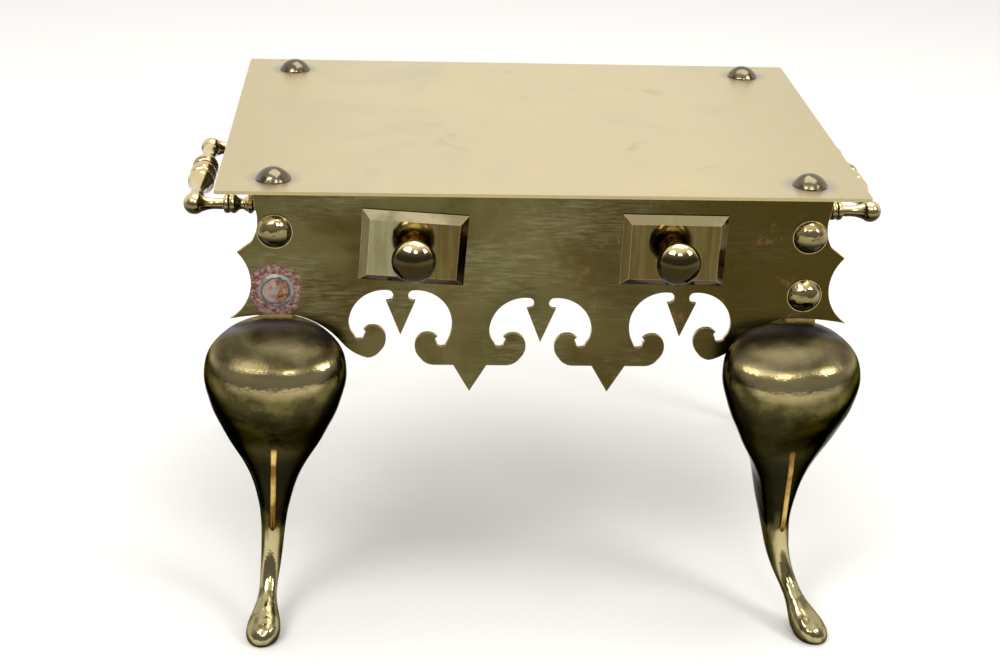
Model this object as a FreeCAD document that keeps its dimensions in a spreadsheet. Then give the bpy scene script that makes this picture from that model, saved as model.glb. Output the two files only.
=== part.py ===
import FreeCAD, Part
import math
import os
import Sketcher

# Brass footman: a low fireside stand with a sheet-brass top, a pierced front
# apron with two false drawer fronts, two cast cabriole front legs, two plain
# rear legs and a turned carrying handle at each side.
#
# Frame: millimetres, +Z up, front towards -Y. The origin lies on the floor
# under the middle of the whole stand, toes to rear plate edge.
# Heights named "down" are measured downwards from the top of the plate.

SIZES = [
    # the top plate and the whole stand
    ("plate_width", 380, "left to right edge of the top plate"),
    ("plate_depth", 280, "front to rear edge of the top plate"),
    ("plate_gauge", 2, "sheet thickness of the top plate"),
    ("plate_corner", 2, "radius of the plate corners"),
    ("stand_height", 280, "floor to the upper face of the plate"),
    ("bore_clearance", 0.2, "radial play of a shank in its hole"),
    # the domed studs
    ("plate_stud_inset", 8.5, "stud centre inside the side rail's outer face"),
    ("plate_stud_front", 23, "front studs to the front edge of the plate"),
    ("plate_stud_rear", 25, "rear studs to the rear edge of the plate"),
    ("cap_rim_radius", 10.4, "radius of a stud's thin rim"),
    ("cap_rim_height", 0.7, "thickness of that rim"),
    ("cap_dome_radius", 10, "radius of the dome inside the rim"),
    ("cap_height", 7, "height of a stud over the sheet"),
    ("shank_radius", 3, "radius of a stud's shank"),
    ("shank_stand_out", 1.5, "shank left standing beyond its nut"),
    ("burr_radius", 4.5, "radius of the closed end below the plate"),
    ("burr_height", 1.6, "height of that closed end"),
    # the front apron
    ("apron_setback", 3, "plate front edge to the apron's face"),
    ("apron_gauge", 2.5, "sheet thickness of the apron"),
    ("apron_waist_half", 166, "half width at the upper waist"),
    ("apron_top_out", 2, "apron's top corners beyond that waist"),
    ("apron_waist_down", 21.5, "depth of the upper waist"),
    ("upper_tip_out", 12, "upper side points beyond the upper waist"),
    ("upper_tip_down", 38.5, "depth of the upper side points"),
    ("lower_waist_out", 4.6, "lower waist beyond the upper one"),
    ("lower_tip_out", 17, "lower side points beyond the upper waist"),
    ("lower_tip_down", 80.2, "depth of the lower side points"),
    ("arch_crown_down", 77.5, "depth of the arch over each knee"),
    ("fleur_half", 30, "half width of a pierced opening"),
    ("fleur_top_middle", 64.8, "depth of the middle opening's crown"),
    ("fleur_top_side", 60.6, "depth of the side openings' crowns"),
    ("dart_length", 22, "arrow head from its barbs to its point"),
    ("dart_half", 8.7, "half width across the barbs"),
    ("dart_neck_half", 4.6, "half width of the arrow's neck"),
    ("scroll_foot_down", 109.4, "depth of the inner scrolls' lower edge"),
    ("scroll_foot_outer_down", 105, "depth of the outer scrolls' lower edge"),
    ("scroll_height", 21, "height of a scroll"),
    ("pendant_half", 10, "half width of a hanging point"),
    ("pendant_length", 17.2, "length of a hanging point"),
    # false drawer fronts and their knobs
    ("plaque_spread", 76, "plaque centre to the middle of the apron"),
    ("plaque_down", 34, "depth of the plaque centres"),
    ("plaque_width", 61.5, "plaque width"),
    ("plaque_height", 43.5, "plaque height"),
    ("plaque_thickness", 5, "plaque thickness"),
    ("plaque_edge", 1, "square edge below the bevel"),
    ("plaque_bevel", 4.7, "width of the bevel"),
    ("left_plaque_lean", 3.5, "clockwise lean of the left plaque, degrees"),
    ("right_plaque_lean", 0.5, "clockwise lean of the right plaque, degrees"),
    ("knob_radius", 12.8, "largest radius of a knob's flattened ball"),
    ("knob_crown", 9, "ball's front ahead of its largest radius"),
    ("knob_reach", 17.2, "largest radius to the plaque's face"),
    ("knob_foot_radius", 6.4, "radius of the foot on the plaque"),
    ("knob_stem_radius", 3.3, "thinnest radius of the stem"),
    ("knob_screw_radius", 2.5, "radius of the screw behind the knob"),
    # front legs
    ("leg_inset", 10, "leg centre inside the apron's upper waist"),
    ("leg_stud_upper_down", 25.2, "depth of the upper leg stud"),
    ("leg_stud_lower_down", 62.2, "depth of the lower leg stud"),
    ("tang_width", 18.2, "width of the leg's flat tang"),
    ("tang_gauge", 4.5, "thickness of the tang"),
    ("tang_headroom", 0.5, "gap over the tang"),
    ("knee_down", 80.5, "depth of the top of the knee"),
    ("knee_half", 41.5, "half width of the knee"),
    ("knee_reach", 41, "knee front ahead of the apron"),
    ("knee_clearance", 0.4, "gap between a knee and the apron's arch"),
    ("toe_reach", 47, "toe ahead of the apron"),
    ("ankle_half", 5.5, "half width of the ankle"),
    ("toe_half", 10.4, "half width of the pad foot"),
    ("left_leg_turn", 2, "outward turn of the left foot, degrees"),
    ("left_leg_sway", 9.9, "outward sway of the left foot"),
    ("left_knee_inset", 0, "left knee inside its studs"),
    ("right_leg_turn", 23, "outward turn of the right foot, degrees"),
    ("right_leg_sway", 20.3, "outward sway of the right foot from its knee"),
    ("right_knee_inset", 6.3, "right knee inside its studs"),
    ("rib_radius", 2, "radius of the raised rib down the shin"),
    # side rails and the rear rail
    ("rail_gauge", 3, "thickness of the rails"),
    ("rail_drop", 50, "depth of a side rail below the plate"),
    ("rail_shelf", 26, "width of the shelf under the plate"),
    ("rail_tab", 24, "width of the turned-in ends"),
    ("rail_rear_inset", 9, "rail end to the rear edge of the plate"),
    ("rear_rail_drop", 32, "depth of the rear rail below the plate"),
    # carrying handles
    ("handle_forward", 13.2, "handle centre ahead of the plate centre"),
    ("handle_down", 34, "depth of the handle axis"),
    ("handle_span", 108.5, "centre to centre of a handle's two balls"),
    ("handle_reach", 43.4, "ball centres beyond the side rail's face"),
    ("handle_ball", 6.8, "radius of a handle's balls"),
    ("grip_radius", 8.4, "largest radius of the turned grip"),
    ("grip_neck", 4.6, "smallest radius of the grip"),
    ("grip_tenon", 2.6, "radius of the grip's tenons"),
    ("tenon_depth", 3, "depth of a tenon in its ball"),
    ("arm_neck", 3.5, "smallest radius of a handle arm"),
    ("arm_bead", 5.9, "radius of the arm's bead and collar"),
    ("arm_flange", 6.8, "radius of the arm's flange on the rail"),
    ("arm_screw", 2.5, "radius of the arm's threaded tail"),
    # rear legs
    ("rear_leg_inset", 18, "rear leg centre to the plate's rear edge"),
    ("rear_leg_width", 13, "bar width seen from the side"),
    ("rear_leg_gauge", 7, "bar thickness at the palm"),
    ("rear_foot_splay", 24, "rear foot centre beyond the side rail's face"),
    ("rear_foot_radius", 8, "radius of the round rear foot"),
    ("rear_foot_height", 4, "height of that foot"),
    # nuts and rivets
    ("nut_radius", 5.8, "corner radius of the large nuts"),
    ("nut_height", 4.5, "height of the large nuts"),
    ("small_nut_radius", 4.8, "corner radius of the small nuts"),
    ("small_nut_height", 3.5, "height of the small nuts"),
    ("washer_radius", 6.2, "radius of the washers behind the apron"),
    ("washer_gauge", 1, "thickness of those washers"),
    ("rivet_radius", 2, "shank radius of the rivets"),
    ("rivet_head", 3.8, "head radius of the rivets"),
    ("rivet_head_height", 1.8, "head height of the rivets"),
]

doc = FreeCAD.newDocument("footman")
sheet = doc.addObject("Spreadsheet::Sheet", "Sizes")
for row, (word, number, note) in enumerate(SIZES, start=1):
    sheet.set("A%d" % row, word)
    sheet.set("B%d" % row, str(number))
    sheet.set("C%d" % row, note)
    sheet.setAlias("B%d" % row, word)
doc.recompute()


class Size:
    """A length together with the sheet expression that gives it."""

    def __init__(self, value, text):
        self.value = float(value)
        self.text = text

    def __add__(self, other):
        other = as_size(other)
        return Size(self.value + other.value, "(%s + %s)" % (self.text, other.text))

    def __sub__(self, other):
        other = as_size(other)
        return Size(self.value - other.value, "(%s - %s)" % (self.text, other.text))

    def __mul__(self, other):
        other = as_size(other)
        return Size(self.value * other.value, "(%s * %s)" % (self.text, other.text))

    def __truediv__(self, other):
        other = as_size(other)
        return Size(self.value / other.value, "(%s / %s)" % (self.text, other.text))

    def __neg__(self):
        return Size(-self.value, "(0 - %s)" % self.text)

    __radd__ = __add__
    __rmul__ = __mul__


def as_size(number):
    if isinstance(number, Size):
        return number
    return Size(number, repr(float(number)))


def size(word):
    return Size(sheet.get(word), "Sizes." + word)


def root(inner):
    return Size(math.sqrt(inner.value), "sqrt(%s)" % inner.text)


def dome_height(radius, rise):
    """Height at half the radius of a spherical cap over its own base."""
    sphere = (radius * radius + rise * rise) / (rise * 2)
    return rise - sphere + root(sphere * sphere - radius * radius / 4)


# Places that several pieces share.
top = size("stand_height")
under_plate = top - size("plate_gauge")
toe_overhang = size("toe_reach") - size("apron_setback")
plate_front = (toe_overhang - size("plate_depth")) / 2
plate_rear = plate_front + size("plate_depth")
plate_middle = plate_front + size("plate_depth") / 2
apron_face = plate_front + size("apron_setback")
apron_back = apron_face + size("apron_gauge")
tang_back = apron_back + size("tang_gauge")
tab_back = tang_back + size("rail_gauge")
shelf_bottom = under_plate - size("rail_gauge")
rail_end = plate_rear - size("rail_rear_inset")
rail_face = size("apron_waist_half")
rail_inner = rail_face - size("rail_gauge")
leg_spread = rail_face - size("leg_inset")
fleur_pitch = leg_spread * 0.5333
handle_out = rail_face + size("handle_reach")
plate_stud_x = rail_face - size("plate_stud_inset")
plaque_face = apron_face - size("plaque_thickness")
shank_bore = size("shank_radius") + size("bore_clearance")
knob_bore = size("knob_screw_radius") + size("bore_clearance")
arm_bore = size("arm_screw") + size("bore_clearance")
rivet_bore = size("rivet_radius") + size("bore_clearance")

nodes = {}


def node(label, item):
    """Registers a finished sub-part under the name of its file."""
    item.Label = label
    nodes[label] = item
    return item


def bind(item, prop, amount):
    item.setExpression(prop, as_size(amount).text)


def place(item, x=0, y=0, z=0):
    for axis, amount in (("x", x), ("y", y), ("z", z)):
        bind(item, "Placement.Base." + axis, amount)


def new_body(name):
    return doc.addObject("PartDesign::Body", name)


def new_sketch(body, name, role, lift=None):
    """A sketch on one of the body's own origin planes, lifted along its normal."""
    plane = [item for item in body.Origin.OriginFeatures if item.Role == role][0]
    sketch = body.newObject("Sketcher::SketchObject", name)
    sketch.AttachmentSupport = [(plane, "")]
    sketch.MapMode = "FlatFace"
    if lift is not None:
        bind(sketch, "AttachmentOffset.Base.z", lift)
    return sketch


def vector(point):
    return FreeCAD.Vector(as_size(point[0]).value, as_size(point[1]).value, 0)


def arc_through(begin, via, end):
    """A counterclockwise arc and the marks of its two given ends."""
    first = via - begin
    second = end - begin
    turn = first.x * second.y - first.y * second.x
    scale = 1 / (2 * turn)
    lift_x = second.y * first.dot(first) - first.y * second.dot(second)
    lift_y = first.x * second.dot(second) - second.x * first.dot(first)
    centre = begin + FreeCAD.Vector(lift_x * scale, lift_y * scale, 0)
    low, high = (begin, end) if turn > 0 else (end, begin)
    angles = [math.atan2(mark.y - centre.y, mark.x - centre.x) for mark in (low, high)]
    if angles[1] < angles[0]:
        angles[1] += 2 * math.pi
    ring = Part.Circle(centre, FreeCAD.Vector(0, 0, 1), centre.distanceToPoint(begin))
    return Part.ArcOfCircle(ring, *angles), ((1, 2) if turn > 0 else (2, 1))


class Rules:
    """Constraints of one sketch, added together and then bound to the sheet."""

    def __init__(self, sketch):
        self.sketch = sketch
        self.rules = []
        self.texts = []

    def add(self, rule, text=None):
        self.rules.append(rule)
        self.texts.append(text)

    def pin(self, geometry, which, point):
        """Fixes one vertex by its two sheet-driven coordinates."""
        for kind, amount in (("DistanceX", point[0]), ("DistanceY", point[1])):
            amount = as_size(amount)
            rule = Sketcher.Constraint(kind, -1, 1, geometry, which, amount.value)
            self.add(rule, amount.text)

    def join(self, first, second):
        self.add(Sketcher.Constraint("Coincident", first[0], first[1], second[0], second[1]))

    def apply(self):
        offset = self.sketch.ConstraintCount
        self.sketch.addConstraint(self.rules)
        for index, text in enumerate(self.texts):
            if text is not None:
                self.sketch.setExpression("Constraints[%d]" % (offset + index), text)


def draw(sketch, start, steps):
    """Draws a closed outline: a step is (end,) for a line or (end, via) for an arc."""
    rules = Rules(sketch)
    curves = []
    markers = []
    marks = []
    here = start
    for step in steps:
        end = step[0]
        if len(step) == 1:
            curves.append(Part.LineSegment(vector(here), vector(end)))
            marks.append((1, 2))
        else:
            arc, ends = arc_through(vector(here), vector(step[1]), vector(end))
            markers.append((len(curves), step[1]))
            curves.append(arc)
            marks.append(ends)
        here = end
    base = sketch.GeometryCount
    sketch.addGeometry(curves, False)
    sketch.addGeometry([Part.Point(vector(via)) for owner, via in markers], True)
    count = len(steps)
    for index in range(count):
        following = (index + 1) % count
        rules.join((base + index, marks[index][1]), (base + following, marks[following][0]))
        rules.pin(base + index, marks[index][1], steps[index][0])
    for index, (owner, via) in enumerate(markers):
        dot = base + count + index
        rules.pin(dot, 1, via)
        rules.add(Sketcher.Constraint("PointOnObject", dot, 1, base + owner))
    rules.apply()


def circle(sketch, centre, radius):
    rules = Rules(sketch)
    index = sketch.GeometryCount
    sketch.addGeometry(Part.Circle(vector(centre), FreeCAD.Vector(0, 0, 1), radius.value))
    rules.pin(index, 3, centre)
    rules.add(Sketcher.Constraint("Radius", index, radius.value), radius.text)
    rules.apply()


def rectangle(sketch, x_low, x_high, y_low, y_high):
    start = (x_low, y_low)
    draw(sketch, start, [((x_high, y_low),), ((x_high, y_high),), ((x_low, y_high),), (start,)])


def pad(body, sketch, name, length, reverse=False):
    feature = body.newObject("PartDesign::Pad", name)
    feature.Profile = sketch
    feature.Reversed = reverse
    bind(feature, "Length", length)
    return feature


def pocket_through(body, sketch, name, reverse=False):
    feature = body.newObject("PartDesign::Pocket", name)
    feature.Profile = sketch
    feature.Type = "ThroughAll"
    feature.Reversed = reverse
    return feature


def bore(body, sketch, name, length):
    """Cuts the same depth to both sides of the sketch."""
    feature = body.newObject("PartDesign::Pocket", name)
    feature.Profile = sketch
    feature.Midplane = True
    bind(feature, "Length", length * 2)
    return feature


def turned(body, name, role, axis, start, steps):
    """A full revolution of an outline about a sketch axis."""
    sketch = new_sketch(body, name + "Profile", role)
    draw(sketch, start, steps)
    feature = body.newObject("PartDesign::Revolution", name)
    feature.Profile = sketch
    feature.ReferenceAxis = (sketch, [axis])
    feature.Angle = 360
    return feature


def mirrored(item, name):
    """The same piece on the other side of the stand."""
    copy = doc.addObject("Part::Mirroring", name)
    copy.Source = item
    copy.Base = FreeCAD.Vector(0, 0, 0)
    copy.Normal = FreeCAD.Vector(1, 0, 0)
    return copy


def group(name, items):
    """Identical fasteners as separate solids of one sub-part."""
    bundle = doc.addObject("Part::Compound", name)
    bundle.Links = items
    return bundle


def make_top_plate():
    body = new_body("TopPlate")
    half = size("plate_width") / 2
    bend = size("plate_corner")
    nip = bend * (1 - math.sqrt(0.5))
    front, rear = plate_front, plate_rear
    sketch = new_sketch(body, "PlateOutline", "XY_Plane", -size("plate_gauge"))
    start = (-half + bend, front)
    draw(sketch, start, [
        ((half - bend, front),),
        ((half, front + bend), (half - nip, front + nip)),
        ((half, rear - bend),),
        ((half - bend, rear), (half - nip, rear - nip)),
        ((-half + bend, rear),),
        ((-half, rear - bend), (-half + nip, rear - nip)),
        ((-half, front + bend),),
        (start, (-half + nip, front + nip)),
    ])
    for side in (-1, 1):
        circle(sketch, (plate_stud_x * side, front + size("plate_stud_front")), shank_bore)
        circle(sketch, (plate_stud_x * side, rear - size("plate_stud_rear")), shank_bore)
    pad(body, sketch, "PlateSheet", size("plate_gauge"))
    place(body, z=top)
    node("top_plate", body)


def half_fleur(centre, side, crown, foot):
    """Half of a pierced opening, from the arrow's point out to the scroll's foot.

    The side is +1 to the right of the opening's middle. The depths are those
    of the opening's crown and of the scroll's lower edge.
    """
    def at(out, down):
        return (centre + as_size(out) * side, -down)

    half = size("fleur_half")
    barb = crown + 7.3
    neck = size("dart_neck_half")
    tip = at(0, barb + size("dart_length"))
    path = [
        (at(size("dart_half"), barb),),
        (at(neck + 2.2, crown + 0.8), at(neck - 0.1, crown + 3.6)),
        (at(half, crown + 17.8), at(half * 0.72, crown + 4.6)),
    ]
    lobe_end = foot - size("scroll_height") + 8
    path += [
        (at(half - 2.8, foot - 14.6), at(half - 0.3, (crown + 17.8 + lobe_end) / 2 + 1)),
        (at(half - 8.4, foot - 15.2), at(half - 5.5, foot - 12)),
        (at(half - 8, foot - 18.4), at(half - 9.3, foot - 16.8)),
        (at(half - 20.5, foot - 17.2), at(half - 14, foot - size("scroll_height"))),
        (at(half - 18.2, foot - 4.6), at(half - 21.4, foot - 11)),
        (at(half - 10.5, foot), at(half - 14.8, foot - 1.3)),
    ]
    return tip, path


def backwards(start, path):
    """The same outline drawn from its far end back to its start."""
    ends = [start] + [step[0] for step in path]
    steps = []
    for index in range(len(path) - 1, -1, -1):
        steps.append((ends[index],) + tuple(path[index][1:]))
    return steps


# Marks on the arch over a knee: beyond the leg's centre, below the crown.
ARCH_TOP = (-10, 0)
ARCH_OUTER = (9, 0.2)
ARCH_SHOULDER = (-25.5, 6.2)
ARCH_INNER = ((-37.6, 17), (-45.5, 24.2))


def make_front_apron():
    """Pierced sheet: side points, arches over the knees, three openings.

    Its right half is drawn and mirrored across the middle of the stand.
    """
    body = new_body("FrontApron")
    sketch = new_sketch(body, "ApronOutline", "XZ_Plane")
    inner_foot = size("scroll_foot_down")
    outer_foot = size("scroll_foot_outer_down")
    scroll_end = size("fleur_half") - 10.5
    arch = size("arch_crown_down")
    waist = size("apron_waist_half")
    waist_down = size("apron_waist_down")

    def on_arch(mark):
        return (leg_spread + mark[0], -(arch + mark[1]))

    tips_middle = (size("upper_tip_down") + size("lower_tip_down")) / 2
    zero = as_size(0)

    top_middle = (zero, -size("plate_gauge"))
    steps = [
        ((waist + size("apron_top_out"), -size("plate_gauge")),),
        ((waist + 1.2, -(waist_down - 11)),),
        ((waist + 3.6, -(waist_down + 10.5)), (waist, -waist_down)),
        ((waist + size("upper_tip_out"), -size("upper_tip_down")),),
        ((waist + size("lower_tip_out"), -size("lower_tip_down")),
         (waist + size("lower_waist_out"), -tips_middle)),
        (on_arch(ARCH_TOP), on_arch(ARCH_OUTER)),
        (on_arch(ARCH_INNER[0]), on_arch(ARCH_SHOULDER)),
        ((fleur_pitch + scroll_end, -outer_foot), on_arch(ARCH_INNER[1])),
    ]
    # the side opening, from its outer scroll over its arrow to its inner scroll
    crown = size("fleur_top_side")
    tip, outer_path = half_fleur(fleur_pitch, 1, crown, outer_foot)
    steps += backwards(tip, outer_path)
    steps += half_fleur(fleur_pitch, -1, crown, inner_foot)[1]
    # the hanging point between two openings
    between = fleur_pitch / 2
    width = size("pendant_half")
    steps += [
        ((between + width, -inner_foot),),
        ((between, -(inner_foot + size("pendant_length"))),),
        ((between - width, -inner_foot),),
        ((scroll_end, -inner_foot),),
    ]
    # half of the middle opening and back up to the plate
    tip, middle_path = half_fleur(zero, 1, size("fleur_top_middle"), inner_foot)
    steps += backwards(tip, middle_path)
    steps.append((top_middle,))
    draw(sketch, top_middle, steps)

    for down in (size("leg_stud_upper_down"), size("leg_stud_lower_down")):
        circle(sketch, (leg_spread, -down), shank_bore)
    circle(sketch, (size("plaque_spread"), -size("plaque_down")), knob_bore)
    half = pad(body, sketch, "ApronSheet", size("apron_gauge"), reverse=True)
    whole = body.newObject("PartDesign::Mirrored", "ApronWhole")
    whole.Originals = [half]
    middle = [item for item in body.Origin.OriginFeatures if item.Role == "YZ_Plane"][0]
    whole.MirrorPlane = (middle, [""])
    body.Tip = whole
    place(body, y=apron_face, z=top)
    node("front_apron", body)


def make_side_rail():
    """Bent angle: a deep web, a shelf under the plate and a turned-in end."""
    body = new_body("LeftSideRail")
    face = -rail_face
    inner = -rail_inner
    gauge = size("rail_gauge")
    plan = new_sketch(body, "WebPlan", "XY_Plane", -size("rail_drop"))
    turn = -rail_face + size("rail_tab")
    start = (face, tang_back)
    draw(plan, start, [
        ((turn, tang_back),),
        ((turn, tab_back),),
        ((inner, tab_back),),
        ((inner, rail_end - gauge),),
        ((turn, rail_end - gauge),),
        ((turn, rail_end),),
        ((face, rail_end),),
        (start,),
    ])
    pad(body, plan, "Web", size("rail_drop"))
    shelf = new_sketch(body, "ShelfPlan", "XY_Plane", -gauge)
    rectangle(shelf, face, face + size("rail_shelf"), apron_back, rail_end)
    pad(body, shelf, "Shelf", gauge)

    studs = new_sketch(body, "ShelfBores", "XY_Plane")
    for y in (plate_front + size("plate_stud_front"), plate_rear - size("plate_stud_rear")):
        circle(studs, (-plate_stud_x, y), shank_bore)
    pocket_through(body, studs, "ShelfHoles")

    tab = new_sketch(body, "TabBore", "XZ_Plane", -tab_back)
    circle(tab, (-leg_spread, size("plate_gauge") - size("leg_stud_upper_down")), shank_bore)
    bore(body, tab, "TabHole", gauge * 2)

    rear = new_sketch(body, "RearTabBore", "XZ_Plane", -rail_end)
    circle(rear, (rear_rivet_x * -1, rear_rivet_z - under_plate), rivet_bore)
    bore(body, rear, "RearTabHole", gauge * 2)

    web = new_sketch(body, "WebBores", "YZ_Plane", face)
    for y in handle_arms:
        circle(web, (y, size("plate_gauge") - size("handle_down")), arm_bore)
    for z in leg_rivets:
        circle(web, (rear_leg_y, z - under_plate), rivet_bore)
    bore(body, web, "WebHoles", gauge * 2)
    place(body, z=under_plate)
    node("left_side_rail", body)
    node("right_side_rail", mirrored(body, "RightSideRail"))


# Places of the handles, rear legs and rear rivets, shared by rails and pieces.
handle_middle = plate_middle - size("handle_forward")
handle_arms = (handle_middle - size("handle_span") / 2, handle_middle + size("handle_span") / 2)
rear_leg_y = plate_rear - size("rear_leg_inset")
palm_top = shelf_bottom - size("rail_gauge")
palm_bottom = under_plate - size("rail_drop") * 1.04
leg_rivets = (palm_top - size("rivet_head") * 2.4, palm_bottom + size("rivet_head") * 3.2)
rear_rivet_x = rail_face - size("rail_tab") * 0.7
rear_rivet_z = under_plate - size("rear_rail_drop") * 0.62


def make_rear_rail():
    body = new_body("RearRail")
    half = rail_face
    gauge = size("rail_gauge")
    sketch = new_sketch(body, "RearRailFace", "XZ_Plane")
    rectangle(sketch, -half, half, -size("rear_rail_drop"), as_size(0))
    for side in (-1, 1):
        circle(sketch, (rear_rivet_x * side, rear_rivet_z - under_plate), rivet_bore)
    pad(body, sketch, "RearRailBar", gauge, reverse=True)
    place(body, y=rail_end, z=under_plate)
    node("rear_rail", body)


def domed_head(radius_rim, rim, radius_dome, height, shank, length):
    """Half outline of a domed stud on its axis: x outwards, y along the head."""
    start = (as_size(0), -length)
    return start, [
        ((shank, -length),),
        ((shank, as_size(0)),),
        ((radius_rim, as_size(0)),),
        ((radius_rim, rim),),
        ((radius_dome, rim),),
        ((as_size(0), height), (radius_dome / 2, rim + dome_height(radius_dome, height - rim))),
        (start,),
    ]


def make_plate_studs():
    """Four domed rivets through the plate and the rails' shelves."""
    grip = size("plate_gauge") + size("rail_gauge")
    outline = domed_head(
        size("cap_rim_radius"), size("cap_rim_height"), size("cap_dome_radius"),
        size("cap_height"), size("shank_radius"), grip + size("burr_height"))
    rows = (
        ("Front", plate_front + size("plate_stud_front")),
        ("Rear", plate_rear - size("plate_stud_rear")),
    )
    studs = []
    burrs = []
    for word, y in rows:
        body = new_body("PlateStud" + word)
        turned(body, "PlateStudTurned" + word, "XZ_Plane", "V_Axis", *outline)
        place(body, -plate_stud_x, y, top)
        studs += [body, mirrored(body, "PlateStudRight" + word)]
        ring = new_body("PlateBurr" + word)
        shank = size("shank_radius")
        rim = size("burr_radius")
        height = size("burr_height")
        start = (shank, as_size(0))
        turned(ring, "PlateBurrTurned" + word, "XZ_Plane", "V_Axis", start, [
            ((shank, -height),),
            ((rim - 1.2, -height),),
            ((rim, as_size(0)), (rim - 0.2, -height * 0.55)),
            (start,),
        ])
        place(ring, -plate_stud_x, y, shelf_bottom)
        burrs += [ring, mirrored(ring, "PlateBurrRight" + word)]
    node("plate_studs", group("PlateStuds", studs))
    node("plate_stud_burrs", group("PlateBurrs", burrs))


def turned_along_y(name, start, steps, x, y, z):
    """A turned piece with its axis front to back, its head towards the front."""
    body = new_body(name)
    turned(body, name + "Turned", "XY_Plane", "V_Axis", start, steps)
    place(body, x, y, z)
    return body


def facing_front(outline):
    """Turns an outline drawn head up so that the head points forwards."""
    start, steps = outline
    flipped = [tuple((point[0], -point[1]) for point in step) for step in steps[:-1]]
    begin = (start[0], -start[1])
    return begin, flipped + [(begin,)]


def nut_behind(name, radius, height, bore, x, y, z):
    """A six-sided nut with its front face at y."""
    block = doc.addObject("Part::Prism", name + "Block")
    block.Polygon = 6
    bind(block, "Circumradius", radius)
    bind(block, "Height", height)
    hole = doc.addObject("Part::Cylinder", name + "Bore")
    bind(hole, "Radius", bore)
    bind(hole, "Height", height)
    nut = doc.addObject("Part::Cut", name)
    nut.Base = block
    nut.Tool = hole
    nut.Placement = FreeCAD.Placement(
        FreeCAD.Vector(0, 0, 0), FreeCAD.Rotation(FreeCAD.Vector(1, 0, 0), -90))
    place(nut, x, y, z)
    return nut


def make_leg_studs():
    """Studs that hold the leg tangs: three with caps, one that lost its cap."""
    nut = size("nut_height")
    stand = size("shank_stand_out")
    upper_z = top - size("leg_stud_upper_down")
    lower_z = top - size("leg_stud_lower_down")
    spread = leg_spread
    upper_length = tab_back - apron_face + nut + stand
    lower_length = tang_back - apron_face + nut + stand

    def cap(length):
        return facing_front(domed_head(
            size("cap_rim_radius"), size("cap_rim_height"), size("cap_dome_radius"),
            size("cap_height"), size("shank_radius"), length))

    upper = turned_along_y("LegStudUpper", *cap(upper_length), -spread, apron_face, upper_z)
    upper_right = mirrored(upper, "LegStudUpperRight")
    lower_right = turned_along_y("LegStudLower", *cap(lower_length), spread, apron_face, lower_z)
    node("leg_studs", group("LegStuds", [upper, upper_right, lower_right]))

    zero = as_size(0)
    solder = as_size(1)
    stump = size("shank_radius") + 1.5
    stump_rise = solder * 1.2
    begin = (zero, lower_length)
    bare = turned_along_y("BareStud", begin, [
        ((size("shank_radius"), lower_length),),
        ((size("shank_radius"), zero),),
        ((size("cap_rim_radius"), zero),),
        ((size("cap_rim_radius") - 1.5, -solder),),
        ((stump, -solder),),
        ((zero, -solder - stump_rise), (stump / 2, -solder - dome_height(stump, stump_rise))),
        (begin,),
    ], -spread, apron_face, lower_z)
    node("bare_stud", bare)

    nuts = []
    for word, y, z in (("Upper", tab_back, upper_z), ("Lower", tang_back, lower_z)):
        made = nut_behind("LegNut" + word, size("nut_radius"), nut, size("shank_radius"), -spread, y, z)
        nuts += [made, mirrored(made, "LegNutRight" + word)]
    node("leg_stud_nuts", group("LegNuts", nuts))


def make_plaque(side, word, lean):
    """A bevelled false drawer front, turned a little about its single screw."""
    body = new_body("Plaque" + word)
    half = size("plaque_width") / 2
    rise = size("plaque_height") / 2
    bevel = size("plaque_bevel")
    edge = size("plaque_edge")
    base = new_sketch(body, "PlaqueBase" + word, "XZ_Plane")
    rectangle(base, -half, half, -rise, rise)
    pad(body, base, "PlaqueEdge" + word, edge)
    foot = new_sketch(body, "PlaqueFoot" + word, "XZ_Plane", edge)
    rectangle(foot, -half, half, -rise, rise)
    face = new_sketch(body, "PlaqueFace" + word, "XZ_Plane", size("plaque_thickness"))
    rectangle(face, -half + bevel, half - bevel, -rise + bevel, rise - bevel)
    loft = body.newObject("PartDesign::AdditiveLoft", "PlaqueBevel" + word)
    loft.Profile = foot
    loft.Sections = [face]
    loft.Ruled = True
    bore = new_sketch(body, "PlaqueBore" + word, "XZ_Plane", size("plaque_thickness"))
    circle(bore, (as_size(0), as_size(0)), knob_bore)
    pocket_through(body, bore, "PlaqueHole" + word)
    body.Placement = FreeCAD.Placement(
        FreeCAD.Vector(0, 0, 0), FreeCAD.Rotation(FreeCAD.Vector(0, 1, 0), 0))
    bind(body, "Placement.Rotation.Angle", lean)
    place(body, size("plaque_spread") * side, apron_face, top - size("plaque_down"))
    node(word.lower() + "_plaque", body)


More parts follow.
